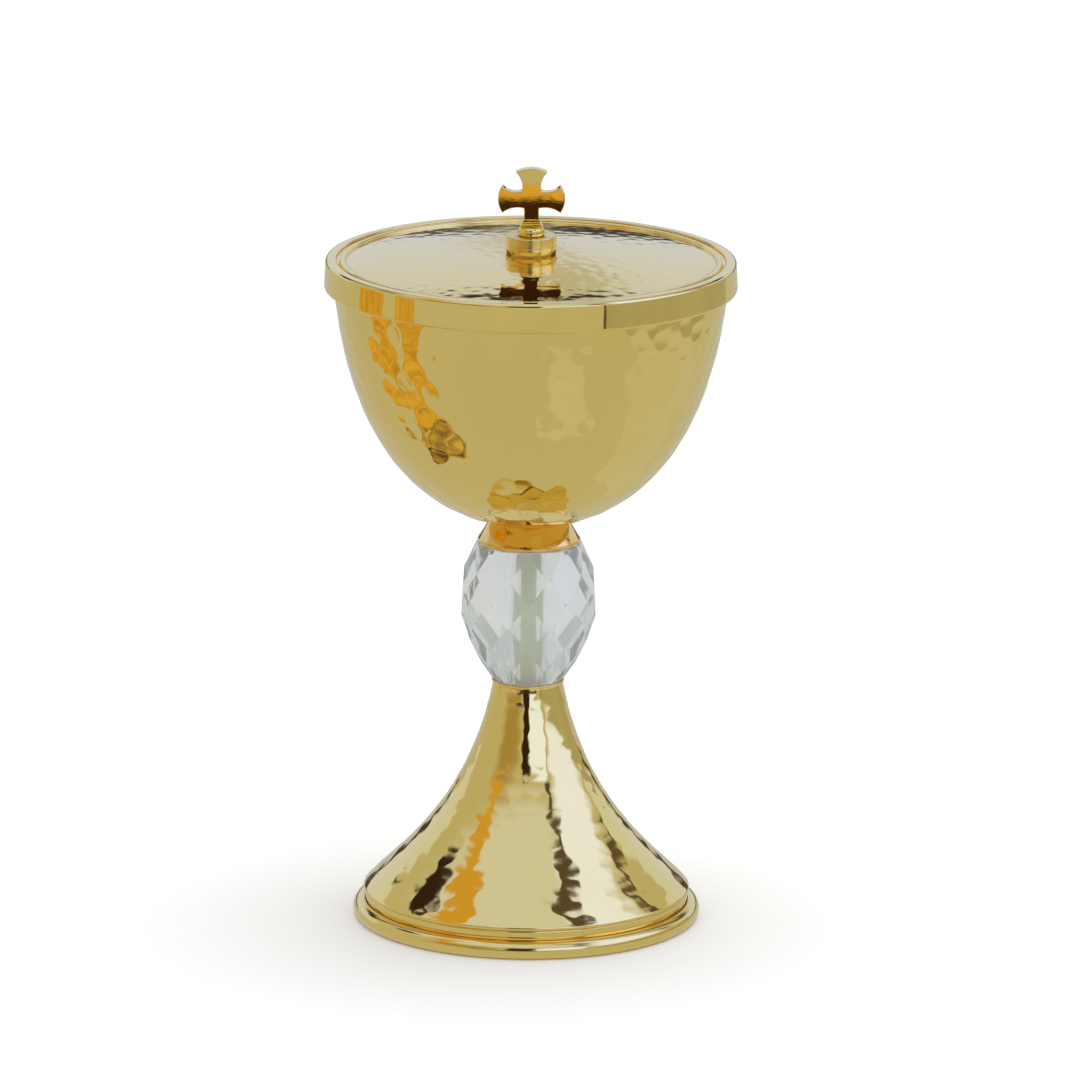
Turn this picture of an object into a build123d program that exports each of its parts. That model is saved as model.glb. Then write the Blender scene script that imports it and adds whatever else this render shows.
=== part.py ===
from build123d import *
import os
from math import atan2, cos, degrees, radians, sin, tan

# A covered ciborium: hammered foot, cut crystal node, hammered cup and lift-off lid with a cross.
# Millimetres. The axis of the vessel is Z, the table is at z = 0, and the cross faces -Y.

# Foot
FOOT_DIAMETER = 101.2  # over the bead
FOOT_HEIGHT = 70.6  # table to the top of the neck
BEAD_THICKNESS = 5.4  # diameter of the round moulding
BEAD_FLAT_DEPTH = 0.25  # how far its underside is flattened
BAND_TOP = 8.0  # height of the step band's top edge
BAND_SETBACK = 3.4  # from the bead's outside in to the band
BAND_WALL = 2.2
BAND_REBATE = 1.8  # how deep the band is let into the bead
CONE_OVERHANG = 0.4  # the cone's edge stands out past the band
CONE_EDGE = 0.8  # upright edge at the bottom of the cone
CONE_EDGE_ANGLE = 52.0  # slope of the cone just above that edge
CONE_EDGE_PULL = 9.0  # length over which that slope carries
NECK_RADIUS = 10.2
NECK_ANGLE = 79.7  # slope of the cone at the neck
NECK_PULL = 40.0  # length over which that slope carries
CONE_WALL = 1.3

# Seat and pads around the crystal
SEAT_LIP_THICKNESS = 0.6
SEAT_LIP_OVERHANG = 0.4
SEAT_LIP_ROUND = 0.24
SEAT_PLUG_DEPTH = 7.0
PAD_THICKNESS = 0.4
PAD_INSET = 0.6  # the lower pad's edge lies inside the crystal's end

# Crystal node
CRYSTAL_HEIGHT = 40.6
CRYSTAL_COLUMNS = 10
CRYSTAL_FOOT_RADIUS = 10.3  # to the flats, at the lower end
BARREL_RADIUS = 19.25  # to the flats, at the widest
BARREL_HEIGHT = 24.3  # height of the widest place above the lower end
BARREL_CURVE = 32.0  # radius of the upright curve that the facets touch
BARREL_FIRST_TILT = 22.0  # tilt of the lowest barrel facet
BARREL_TILT_STEP = 12.6
BARREL_ROWS = 5
CRYSTAL_BORE = 7.0

# Rod and what it clamps
ROD_DIAMETER = 5.0
ROD_CHAMFER = 0.4
ROD_IN_BOSS = 4.0  # thread engaged in the boss
ROD_BELOW_NUT = 3.0
THREAD_CLEARANCE = 0.05
ROD_CLEARANCE = 0.25  # radial, in plain holes
SLEEVE_CLEARANCE = 0.05  # radial, between the sleeve and the crystal's bore
SLEEVE_END_GAP = 0.3
CLAMP_WASHER_DIAMETER = 15.0
CLAMP_WASHER_THICKNESS = 1.5
SPRING_WASHER_DIAMETER = 9.2
SPRING_WASHER_THICKNESS = 1.2
SPRING_WASHER_GAP = 1.0
CLAMP_NUT_FLATS = 8.0
CLAMP_NUT_THICKNESS = 4.0

# Collar under the cup
COLLAR_RADIUS = 15.0  # at its lower lip
COLLAR_LIP = 1.0
COLLAR_LIP_STEP = 0.25
COLLAR_FLOOR = 1.0
COLLAR_LEAN = 32.0  # how far its side leans in from upright
COLLAR_TO_CUP = 5.2  # from the collar's underside to the cup's lowest point
BOSS_DIAMETER = 14.0
BOSS_CLEARANCE = 0.1

# Cup
CUP_HEIGHT = 76.2
CUP_RADIUS = 57.5  # at the mouth
CUP_BOTTOM_PULL = 20.4  # length over which the bottom stays level
CUP_MOUTH_PULL = 64.8  # length over which the mouth's slope carries
CUP_MOUTH_LEAN = 3.85
CUP_WALL = 1.2

# Lid
LID_CLEARANCE = 0.4  # radial, between the cup's mouth and the band
LID_BAND_WALL = 2.0
LID_BAND_TAPER = 0.4  # the band is this much narrower at the top
LID_OVERLAP = 6.2  # how far the band hangs below the cup's mouth
LID_BAND_ROUND = 1.0
LEDGE_THICKNESS = 0.8
LEDGE_CLEARANCE = 0.1  # radial, between the ledge and the field that drops inside it
RIM_RISE = 2.4  # cup's mouth to the top of the band
RIM_WIDTH = 3.6  # width of the band's top
GROOVE_WIDTH = 1.1
PLATE_BORDER_WIDTH = 1.7
PLATE_BORDER_THICKNESS = 1.4
PLATE_STEP = 0.7  # drop from the border to the hammered field
PLATE_RISE = 2.5  # the field's rise from its edge to the knob
PLATE_FULLNESS = 0.735  # share of that rise reached halfway in
PLATE_WALL = 1.0

# Knob, stud and cross
KNOB_RADIUS = 7.35
KNOB_LAND = 0.25  # flat on the plate around the knob
KNOB_BASE_HEIGHT = 2.7
KNOB_CAP_HEIGHT = 2.9
KNOB_SEAM = 0.2  # chamfer on both sides of the seam
STUD_DIAMETER = 4.0
STUD_CHAMFER = 0.3
STUD_IN_CROSS = 1.8
STUD_BELOW_NUT = 0.4  # left between the stud's end and the inside of the dome
LID_WASHER_DIAMETER = 12.0
LID_WASHER_THICKNESS = 1.0
LID_NUT_FLATS = 7.0
LID_NUT_HEX = 3.2
LID_NUT_DOME = 2.4
LID_NUT_SHOULDER = 0.3  # the dome is this much inside the flats
CROSS_FOOT_RADIUS = 3.8
CROSS_FOOT_HEIGHT = 2.5
CROSS_FOOT_ROUND = 1.0
CROSS_THICKNESS = 3.4
CROSS_SPAN = 19.4  # over the side arms
CROSS_TOP = 9.2  # above the arms' centre line
CROSS_STEM = 8.1  # below the arms' centre line, down to the foot
CROSS_TIP_BULGE = 1.3  # the rounded ends stand out past their corners
SIDE_TIP_HEIGHT = 7.8
TOP_TIP_WIDTH = 9.2
STEM_FOOT_WIDTH = 6.8
ARM_WAIST = 4.9  # height of the side arms at the middle
TOP_WAIST = 5.4  # width of the top arm at the middle
STEM_WAIST = 4.3  # width of the stem at the middle
ARM_CURVE = 0.55  # how far the arms' sides curve inwards
CROSS_CORNER = 0.35  # rounding of the outline's corners
CROSS_EDGE = 0.5  # rounding of the front and back edges

# Heights and radii that follow from the sizes above
bead_radius = BEAD_THICKNESS / 2
bead_centre_radius = FOOT_DIAMETER / 2 - bead_radius
bead_centre_height = bead_radius - BEAD_FLAT_DEPTH
band_radius = FOOT_DIAMETER / 2 - BAND_SETBACK
band_bottom = bead_centre_height + bead_radius - BAND_REBATE
cone_radius = band_radius + CONE_OVERHANG
seat_top = FOOT_HEIGHT + SEAT_LIP_THICKNESS
seat_bottom = FOOT_HEIGHT - SEAT_PLUG_DEPTH
crystal_bottom = seat_top + PAD_THICKNESS
crystal_top = crystal_bottom + CRYSTAL_HEIGHT
half_column = 180 / CRYSTAL_COLUMNS
barrel_centre = crystal_bottom + BARREL_HEIGHT
collar_bottom = crystal_top + PAD_THICKNESS
cup_bottom = collar_bottom + COLLAR_TO_CUP
cup_mouth = cup_bottom + CUP_HEIGHT
boss_bottom = collar_bottom + COLLAR_FLOOR + BOSS_CLEARANCE
rod_radius = ROD_DIAMETER / 2
rod_hole_radius = rod_radius + ROD_CLEARANCE
rod_thread_radius = rod_radius + THREAD_CLEARANCE
rod_top = boss_bottom + ROD_IN_BOSS
clamp_washer_bottom = seat_bottom - CLAMP_WASHER_THICKNESS
spring_washer_bottom = clamp_washer_bottom - SPRING_WASHER_THICKNESS
clamp_nut_bottom = spring_washer_bottom - CLAMP_NUT_THICKNESS
rod_bottom = clamp_nut_bottom - ROD_BELOW_NUT
skirt_radius = CUP_RADIUS + LID_CLEARANCE
lid_radius = skirt_radius + LID_BAND_WALL
rim_top = cup_mouth + RIM_RISE
rim_inner_radius = lid_radius - RIM_WIDTH
plate_seat = cup_mouth + LEDGE_THICKNESS
plate_radius = rim_inner_radius - GROOVE_WIDTH
field_radius = plate_radius - PLATE_BORDER_WIDTH
ledge_inner_radius = field_radius + LEDGE_CLEARANCE
field_edge = plate_seat + PLATE_BORDER_THICKNESS - PLATE_STEP
knob_bottom = field_edge + PLATE_RISE
knob_seam_height = knob_bottom + KNOB_BASE_HEIGHT
knob_top = knob_seam_height + KNOB_CAP_HEIGHT
stud_radius = STUD_DIAMETER / 2
stud_hole_radius = stud_radius + ROD_CLEARANCE
stud_thread_radius = stud_radius + THREAD_CLEARANCE
lid_washer_bottom = knob_bottom - PLATE_WALL - LID_WASHER_THICKNESS
lid_nut_hex_bottom = lid_washer_bottom - LID_NUT_HEX
stud_bottom = lid_nut_hex_bottom - LID_NUT_DOME / 2
cross_centre = knob_top + CROSS_FOOT_HEIGHT + CROSS_STEM


def turned(outline):
    """The solid made by turning an outline, drawn as (radius, height), round the axis."""
    return revolve(make_face(Plane.XZ * outline), Axis.Z)


def ring(outer, inner, bottom, top):
    """A plain ring or tube on the axis."""
    outline = Polyline((inner, bottom), (outer, bottom), (outer, top), (inner, top), close=True)
    return turned(outline)


def rod(radius, bottom, top, chamfered):
    """A round bar on the axis with chamfered ends."""
    bar = Pos(0, 0, bottom) * Cylinder(radius, top - bottom, align=(Align.CENTER, Align.CENTER, Align.MIN))
    return chamfer(bar.edges(), chamfered)


def hexagon(flats, bottom, top):
    """A hexagonal bar on the axis with its corners turned down at both ends."""
    bar = Pos(0, 0, bottom) * extrude(RegularPolygon(flats / 2, 6, major_radius=False), top - bottom)
    corner = flats / 2 / cos(radians(30))
    middle = (bottom + top) / 2
    rise = (top - bottom) / 2
    turn_down = (corner - flats / 2) * tan(radians(30))
    blank = turned(
        Polyline(
            (0, bottom),
            (flats / 2, bottom),
            (corner, bottom + turn_down),
            (corner, middle + rise - turn_down),
            (flats / 2, top),
            (0, top),
            close=True,
        )
    )
    return bar & blank


def widest_circles(solid):
    """The circular edges of a turned solid that have its largest radius."""
    return solid.edges().filter_by(GeomType.CIRCLE).group_by(SortBy.RADIUS)[-1]


def polar(angle, length):
    """The step of a given length at an angle above level, as (radius, height)."""
    return length * cos(radians(angle)), length * sin(radians(angle))


# Foot


def cone_curve(inset):
    """The foot's side from its edge up to the neck, moved in level to leave a wall as thick as the inset."""
    edge_in, edge_up = polar(CONE_EDGE_ANGLE, CONE_EDGE_PULL)
    neck_in, neck_up = polar(NECK_ANGLE, NECK_PULL)
    start = cone_radius - inset / sin(radians(CONE_EDGE_ANGLE)), BAND_TOP + CONE_EDGE
    finish = NECK_RADIUS - inset / sin(radians(NECK_ANGLE)), FOOT_HEIGHT
    return Bezier(
        start,
        (start[0] - edge_in, start[1] + edge_up),
        (finish[0] + neck_in, finish[1] - neck_up),
        finish,
    )


def foot_bead():
    """Round moulding with a flat underside and a rebate for the step band."""
    bead = Pos(0, 0, bead_centre_height) * Torus(bead_centre_radius, bead_radius)
    below = ring(FOOT_DIAMETER, 0, -BEAD_THICKNESS, 0)
    rebate = ring(band_radius, 0, band_bottom, BAND_TOP)
    return bead - below - rebate


def foot_band():
    """Step ring let into the bead, carrying the cone."""
    return ring(band_radius, band_radius - BAND_WALL, band_bottom, BAND_TOP)


def foot_cone():
    """Spun shell of the foot, open below and at the neck."""
    outside = cone_curve(0)
    inside = cone_curve(CONE_WALL)
    edge = outside @ 0
    inner_edge = inside @ 0
    outline = Curve() + [
        outside,
        Line(outside @ 1, inside @ 1),
        inside,
        Line(inner_edge, (inner_edge.X, BAND_TOP)),
        Line((inner_edge.X, BAND_TOP), (edge.X, BAND_TOP)),
        Line((edge.X, BAND_TOP), edge),
    ]
    return turned(outline)


def neck_seat():
    """Lipped plug in the top of the neck, bored for the rod."""
    neck_bore = (cone_curve(CONE_WALL) @ 1).X - THREAD_CLEARANCE
    lip = ring(NECK_RADIUS + SEAT_LIP_OVERHANG, rod_hole_radius, FOOT_HEIGHT, seat_top)
    lip = fillet(widest_circles(lip), SEAT_LIP_ROUND)
    return lip + ring(neck_bore, rod_hole_radius, seat_bottom, FOOT_HEIGHT)


# Crystal


def facet_row(solid, radius, height, tilt, turned_by):
    """Cut one flat per column, each leaning in by the tilt and touching (radius, height)."""
    for column in range(CRYSTAL_COLUMNS):
        way = radians(turned_by + column * 2 * half_column)
        flat = Plane(
            origin=(radius * cos(way), radius * sin(way), height),
            z_dir=(
                cos(radians(tilt)) * cos(way),
                cos(radians(tilt)) * sin(way),
                -sin(radians(tilt)),
            ),
        )
        solid = split(solid, bisect_by=flat, keep=Keep.BOTTOM)
    return solid


def crystal_node():
    """Barrel of staggered lozenge facets with long facets and flutes down to the neck."""
    front = -90
    between = front + half_column
    solid = ring(2 * BARREL_RADIUS, 0, crystal_bottom, crystal_top)
    for row in range(BARREL_ROWS):
        tilt = BARREL_FIRST_TILT - row * BARREL_TILT_STEP
        radius = BARREL_RADIUS - BARREL_CURVE * (1 - cos(radians(tilt)))
        height = barrel_centre - BARREL_CURVE * sin(radians(tilt))
        solid = facet_row(solid, radius, height, tilt, between if row % 2 == 0 else front)

    # The long facets reach from the neck to the points between the lowest barrel facets.
    first = radians(BARREL_FIRST_TILT)
    first_radius = BARREL_RADIUS - BARREL_CURVE * (1 - cos(first))
    first_height = barrel_centre - BARREL_CURVE * sin(first) - crystal_bottom
    corner_radius = first_radius / cos(radians(half_column))
    long_slope = (corner_radius - CRYSTAL_FOOT_RADIUS) / first_height
    solid = facet_row(solid, CRYSTAL_FOOT_RADIUS, crystal_bottom, degrees(atan2(long_slope, 1)), front)

    # The flutes between them start where the long facets' corners meet the lowest barrel facets.
    corner_slope = long_slope / cos(radians(half_column))
    corner_start = CRYSTAL_FOOT_RADIUS / cos(radians(half_column))
    barrel_start = first_radius - first_height * tan(first)
    flute_height = (barrel_start - corner_start) / (corner_slope - tan(first))
    flute_radius = corner_start + corner_slope * flute_height
    flute_slope = (flute_radius - CRYSTAL_FOOT_RADIUS) / flute_height
    solid = facet_row(solid, CRYSTAL_FOOT_RADIUS, crystal_bottom, degrees(atan2(flute_slope, 1)), between)
    return solid - ring(CRYSTAL_BORE / 2, 0, crystal_bottom, crystal_top)


def crystal_top_radius():
    """Radius inside the flats of the crystal's upper end."""
    tilt = radians(BARREL_FIRST_TILT - (BARREL_ROWS - 1) * BARREL_TILT_STEP)
    radius = BARREL_RADIUS - BARREL_CURVE * (1 - cos(tilt))
    height = barrel_centre - BARREL_CURVE * sin(tilt)
    return radius + (crystal_top - height) * tan(tilt)


def lower_gasket():
    """Thin pad between the seat and the crystal."""
    return ring(CRYSTAL_FOOT_RADIUS - PAD_INSET, CRYSTAL_BORE / 2, seat_top, crystal_bottom)


def upper_gasket():
    """Thin pad between the crystal and the collar."""
    outer = min(crystal_top_radius(), COLLAR_RADIUS) - PAD_INSET
    return ring(outer, CRYSTAL_BORE / 2, crystal_top, collar_bottom)


def rod_sleeve():
    """Pale tube round the rod, inside the crystal's bore."""
    outer = CRYSTAL_BORE / 2 - SLEEVE_CLEARANCE
    return ring(outer, rod_hole_radius, seat_top + SLEEVE_END_GAP, collar_bottom - SLEEVE_END_GAP)


# Collar, cup and the rod that holds them


def cup_curve(inset):
    """The cup's side from the axis up to its mouth, moved in by the inset."""
    mouth_lean = radians(CUP_MOUTH_LEAN)
    start = 0, cup_bottom + inset
    finish = CUP_RADIUS - inset, cup_mouth
    return Bezier(
        start,
        (CUP_BOTTOM_PULL - inset / 2, start[1]),
        (finish[0] - CUP_MOUTH_PULL * sin(mouth_lean), finish[1] - CUP_MOUTH_PULL * cos(mouth_lean)),
        finish,
    )


def cup_block(inset):
    """The cup filled up to its mouth."""
    side = cup_curve(inset)
    outline = Curve() + [side, Line(side @ 1, (0, cup_mouth)), Line((0, cup_mouth), side @ 0)]
    return turned(outline)


def cup_bowl():
    """The hammered cup."""
    return cup_block(0) - cup_block(CUP_WALL)


def stem_collar():
    """Conical collar, cut on top to the cup's underside and bored for the boss."""
    lip_top = collar_bottom + COLLAR_LIP
    cone_foot = COLLAR_RADIUS - COLLAR_LIP_STEP
    cone_height = 2 * COLLAR_TO_CUP
    cone_top = cone_foot - cone_height * tan(radians(COLLAR_LEAN))
    bore = BOSS_DIAMETER / 2 + BOSS_CLEARANCE
    outline = Polyline(
        (rod_hole_radius, collar_bottom),
        (COLLAR_RADIUS, collar_bottom),
        (COLLAR_RADIUS, lip_top),
        (cone_foot, lip_top),
        (cone_top, lip_top + cone_height),
        (rod_hole_radius, lip_top + cone_height),
        close=True,
    )
    counterbore = ring(bore, 0, collar_bottom + COLLAR_FLOOR, lip_top + cone_height)
    return turned(outline) - counterbore - cup_block(0)


def cup_boss():
    """Threaded boss fixed under the cup."""
    top = cup_bottom + COLLAR_TO_CUP
    boss = ring(BOSS_DIAMETER / 2, rod_thread_radius, boss_bottom, top) - cup_block(0)
    return boss


def tie_rod():
    """Rod that pulls cup, collar, crystal and foot together."""
    return rod(rod_radius, rod_bottom, min(rod_top, cup_bottom - THREAD_CLEARANCE), ROD_CHAMFER)


def clamp_washer():
    """Plain washer under the neck seat."""
    return ring(CLAMP_WASHER_DIAMETER / 2, rod_hole_radius, clamp_washer_bottom, seat_bottom)


def spring_washer():
    """Split washer, closed flat by the nut."""
    washer = ring(SPRING_WASHER_DIAMETER / 2, rod_hole_radius, spring_washer_bottom, clamp_washer_bottom)
    split_gap = Pos(SPRING_WASHER_DIAMETER / 2, 0, (spring_washer_bottom + clamp_washer_bottom) / 2) * Box(
        SPRING_WASHER_DIAMETER, SPRING_WASHER_GAP, 2 * SPRING_WASHER_THICKNESS
    )
    return washer - split_gap


def clamp_nut():
    """Hexagonal nut on the rod, inside the foot."""
    nut = hexagon(CLAMP_NUT_FLATS, clamp_nut_bottom, spring_washer_bottom)
    return nut - ring(rod_thread_radius, 0, clamp_nut_bottom, spring_washer_bottom)


# Lid


def lid_band():
    """Band that hangs round the cup's mouth, with a ledge that rests on it and holds the plate."""
    skirt_bottom = cup_mouth - LID_OVERLAP
    outline = Polyline(
        (skirt_radius, skirt_bottom),
        (lid_radius, skirt_bottom),
        (lid_radius - LID_BAND_TAPER, rim_top),
        (rim_inner_radius, rim_top),
        (rim_inner_radius, plate_seat),
        (ledge_inner_radius, plate_seat),
        (ledge_inner_radius, cup_mouth),
        (skirt_radius, cup_mouth),
        close=True,
    )
    band = turned(outline)
    outer_edges = band.edges().filter_by(GeomType.CIRCLE).group_by(SortBy.RADIUS)
    return fillet(outer_edges[-1] + outer_edges[-2], LID_BAND_ROUND)


def lid_plate():
    """Domed plate with a raised border, flat round the knob and bored for the stud."""
    land = KNOB_RADIUS + KNOB_LAND
    dome_top = ThreePointArc(
        (field_radius, field_edge),
        ((field_radius + land) / 2, field_edge + PLATE_RISE * PLATE_FULLNESS),
        (land, knob_bottom),
    )
    dome_under = ThreePointArc(
        (field_radius, field_edge - PLATE_WALL),
        ((field_radius + land) / 2, field_edge + PLATE_RISE * PLATE_FULLNESS - PLATE_WALL),
        (land, knob_bottom - PLATE_WALL),
    )
    border_top = plate_seat + PLATE_BORDER_THICKNESS
    outline = Curve() + [
        dome_top,
        Line((land, knob_bottom), (stud_hole_radius, knob_bottom)),
        Line((stud_hole_radius, knob_bottom), (stud_hole_radius, knob_bottom - PLATE_WALL)),
        Line((stud_hole_radius, knob_bottom - PLATE_WALL), (land, knob_bottom - PLATE_WALL)),
        dome_under,
        Line((field_radius, field_edge - PLATE_WALL), (field_radius, plate_seat)),
        Line((field_radius, plate_seat), (plate_radius, plate_seat)),
        Line((plate_radius, plate_seat), (plate_radius, border_top)),
        Line((plate_radius, border_top), (field_radius, border_top)),
        Line((field_radius, border_top), (field_radius, field_edge)),
    ]
    return turned(outline)


def knob_base():
    """Lower half of the knob."""
    half = ring(KNOB_RADIUS, stud_hole_radius, knob_bottom, knob_seam_height)
    return chamfer(widest_circles(half).group_by(Axis.Z)[-1], KNOB_SEAM)


def knob_cap():
    """Upper half of the knob."""
    half = ring(KNOB_RADIUS, stud_hole_radius, knob_seam_height, knob_top)
    half = chamfer(widest_circles(half).group_by(Axis.Z)[0], KNOB_SEAM)
    return fillet(widest_circles(half).group_by(Axis.Z)[-1], KNOB_SEAM)


def knob_stud():
    """Stud from the cross down to the nut under the plate."""
    return rod(stud_radius, stud_bottom, knob_top + STUD_IN_CROSS - THREAD_CLEARANCE, STUD_CHAMFER)


def lid_washer():
    """Plain washer under the plate."""
    return ring(LID_WASHER_DIAMETER / 2, stud_hole_radius, lid_washer_bottom, knob_bottom - PLATE_WALL)


def lid_nut():
    """Dome nut that closes the stud's lower end."""
    dome_radius = LID_NUT_FLATS / 2 - LID_NUT_SHOULDER
    dome = turned(
        Curve()
        + [
            ThreePointArc(
                (0, lid_nut_hex_bottom - LID_NUT_DOME),
                (dome_radius * sin(radians(45)), lid_nut_hex_bottom - LID_NUT_DOME * cos(radians(45))),
                (dome_radius, lid_nut_hex_bottom),
            ),
            Line((dome_radius, lid_nut_hex_bottom), (0, lid_nut_hex_bottom)),
            Line((0, lid_nut_hex_bottom), (0, lid_nut_hex_bottom - LID_NUT_DOME)),
        ]
    )
    nut = hexagon(LID_NUT_FLATS, lid_nut_hex_bottom, lid_washer_bottom) + dome
    return nut - ring(stud_thread_radius, 0, stud_bottom - STUD_BELOW_NUT, lid_washer_bottom)


# Cross


def hollowed(start, finish):
    """A side of an arm, curving in towards the arm's middle line."""
    return SagittaArc(start, finish, -ARM_CURVE)


def cross_outline():
    """Outline of the cross about the arms' centre line, as (sideways, up)."""
    tip = CROSS_SPAN / 2
    tip_corner = tip - CROSS_TIP_BULGE, SIDE_TIP_HEIGHT / 2
    top_corner = TOP_TIP_WIDTH / 2, CROSS_TOP - CROSS_TIP_BULGE * TOP_TIP_WIDTH / CROSS_SPAN * 2
    upper = TOP_WAIST / 2, ARM_WAIST / 2
    lower = STEM_WAIST / 2, -ARM_WAIST / 2
    foot = STEM_FOOT_WIDTH / 2, -CROSS_STEM

    def mirrored(point):
        return -point[0], point[1]

    low_corner = tip_corner[0], -tip_corner[1]
    return Curve() + [
        ThreePointArc(mirrored(top_corner), (0, CROSS_TOP), top_corner),
        hollowed(top_corner, upper),
        hollowed(upper, tip_corner),
        ThreePointArc(tip_corner, (tip, 0), low_corner),
        hollowed(low_corner, lower),
        hollowed(lower, foot),
        Line(foot, mirrored(foot)),
        hollowed(mirrored(foot), mirrored(lower)),
        hollowed(mirrored(lower), mirrored(low_corner)),
        ThreePointArc(mirrored(low_corner), (-tip, 0), mirrored(tip_corner)),
        hollowed(mirrored(tip_corner), mirrored(upper)),
        hollowed(mirrored(upper), mirrored(top_corner)),
    ]


def cross():
    """Cast cross on a round foot, tapped underneath for the stud."""
    outline = make_face(cross_outline())
    outline = fillet(outline.vertices(), CROSS_CORNER)
    shape = extrude(Plane.XZ * outline, CROSS_THICKNESS / 2, both=True)
    shape = fillet(shape.edges().filter_by(Plane.XZ), CROSS_EDGE)
    shape = Pos(0, 0, cross_centre) * shape
    foot = ring(CROSS_FOOT_RADIUS, 0, knob_top, knob_top + CROSS_FOOT_HEIGHT)
    foot = fillet(foot.edges(), CROSS_FOOT_ROUND)
    tapped = ring(stud_thread_radius, 0, knob_top, knob_top + STUD_IN_CROSS)
    return shape + foot - tapped


def main():
    makers = [
        foot_bead,
        foot_band,
        foot_cone,
        neck_seat,
        lower_gasket,
        crystal_node,
        rod_sleeve,
        upper_gasket,
        stem_collar,
        cup_boss,
        cup_bowl,
        tie_rod,
        clamp_washer,
        spring_washer,
        clamp_nut,
        lid_band,
        lid_plate,
        knob_base,
        knob_cap,
        cross,
        knob_stud,
        lid_washer,
        lid_nut,
    ]
    os.makedirs("parts", exist_ok=True)
    for maker in makers:
        export_step(maker(), f"parts/{maker.__name__}.step")


main()
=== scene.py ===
import math
import random

import bmesh
import bpy
import numpy as np
from mathutils import Matrix, Vector, kdtree


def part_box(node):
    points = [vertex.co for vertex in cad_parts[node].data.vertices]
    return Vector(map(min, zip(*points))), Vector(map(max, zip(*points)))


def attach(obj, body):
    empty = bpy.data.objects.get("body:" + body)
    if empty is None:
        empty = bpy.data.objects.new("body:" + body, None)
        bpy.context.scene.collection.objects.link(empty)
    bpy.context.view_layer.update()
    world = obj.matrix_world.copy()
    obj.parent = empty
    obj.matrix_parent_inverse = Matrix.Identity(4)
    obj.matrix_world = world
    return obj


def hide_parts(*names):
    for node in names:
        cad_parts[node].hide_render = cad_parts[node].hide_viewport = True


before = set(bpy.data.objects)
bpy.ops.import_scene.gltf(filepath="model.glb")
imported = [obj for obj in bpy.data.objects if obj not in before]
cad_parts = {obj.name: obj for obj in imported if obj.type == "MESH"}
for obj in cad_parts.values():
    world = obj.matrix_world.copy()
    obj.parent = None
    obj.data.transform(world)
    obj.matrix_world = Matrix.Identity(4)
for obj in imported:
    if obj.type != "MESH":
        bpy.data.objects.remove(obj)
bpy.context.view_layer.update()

MM = 0.001


# Sizes read from the frame


def reach(node):
    """A turned node's radius, lowest and highest point, in metres."""
    low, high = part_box(node)
    return high.x, low.z, high.z


bead_outer, bead_bottom, bead_top = reach("foot_bead")
band_radius, band_bottom, band_top = reach("foot_band")
cone_radius, cone_bottom, neck_top = reach("foot_cone")
seat_radius, seat_bottom, seat_top = reach("neck_seat")
crystal_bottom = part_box("crystal_node")[0].z
crystal_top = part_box("crystal_node")[1].z
collar_radius, collar_bottom, collar_top = reach("stem_collar")
cup_radius, cup_bottom, cup_mouth = reach("cup_bowl")
lid_radius, lid_bottom, lid_top = reach("lid_band")
plate_radius, _, knob_bottom = reach("lid_plate")
knob_radius, knob_low, knob_seam = reach("knob_base")
knob_top = reach("knob_cap")[2]
cross_low, cross_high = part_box("cross")

ROD_HOLE_RADIUS = 2.75 * MM
STUD_HOLE_RADIUS = 2.25 * MM


# Mesh helpers


def new_object(name, mesh):
    piece = bpy.data.objects.new(name, mesh)
    bpy.context.scene.collection.objects.link(piece)
    return piece


def rounded(corners, segments=6):
    """Points of a closed outline whose corners, given as (radius, height, rounding), are arcs."""
    points = []
    count = len(corners)
    for index, (x, z, rounding) in enumerate(corners):
        here = Vector((x, z))
        if rounding <= 0:
            points.append(here)
            continue
        before = (Vector(corners[index - 1][:2]) - here).normalized()
        after = (Vector(corners[(index + 1) % count][:2]) - here).normalized()
        half = before.angle(after) / 2
        setback = rounding / math.tan(half)
        centre = here + (before + after).normalized() * rounding / math.sin(half)
        start = here + before * setback - centre
        finish = here + after * setback - centre
        turn = start.angle_signed(finish)
        for step in range(segments + 1):
            spin = Matrix.Rotation(-turn * step / segments, 2)
            points.append(centre + spin @ start)
    return [(point.x, point.y) for point in points]


def grid_mesh(name, rows, closed_rows):
    """A mesh from rows of points, each row a closed loop round the axis."""
    row_count, segments = rows.shape[:2]
    mesh = bpy.data.meshes.new(name)
    faces = []
    for row in range(row_count if closed_rows else row_count - 1):
        below = row * segments
        above = (row + 1) % row_count * segments
        for column in range(segments):
            beside = (column + 1) % segments
            faces.append((below + column, below + beside, above + beside, above + column))
    mesh.from_pydata(rows.reshape(-1, 3).tolist(), [], faces)
    mesh.validate()
    mesh.shade_smooth()
    return mesh


def turn_points(outline, segments):
    """Rows of points from turning an outline of (radius, height) round the axis."""
    angles = np.linspace(0, 2 * math.pi, segments, endpoint=False)
    outline = np.array(outline)
    rows = np.empty((len(outline), segments, 3))
    rows[:, :, 0] = outline[:, :1] * np.cos(angles)
    rows[:, :, 1] = outline[:, :1] * np.sin(angles)
    rows[:, :, 2] = outline[:, 1:]
    return rows


def mend(mesh, joined=False):
    """Make the faces look outwards, once points that meet are joined where that is asked for."""
    work = bmesh.new()
    work.from_mesh(mesh)
    if joined:
        bmesh.ops.remove_doubles(work, verts=work.verts, dist=0.001 * MM)
        bmesh.ops.dissolve_degenerate(work, edges=work.edges, dist=0.001 * MM)
    bmesh.ops.recalc_face_normals(work, faces=work.faces)
    work.to_mesh(mesh)
    work.free()


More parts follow.
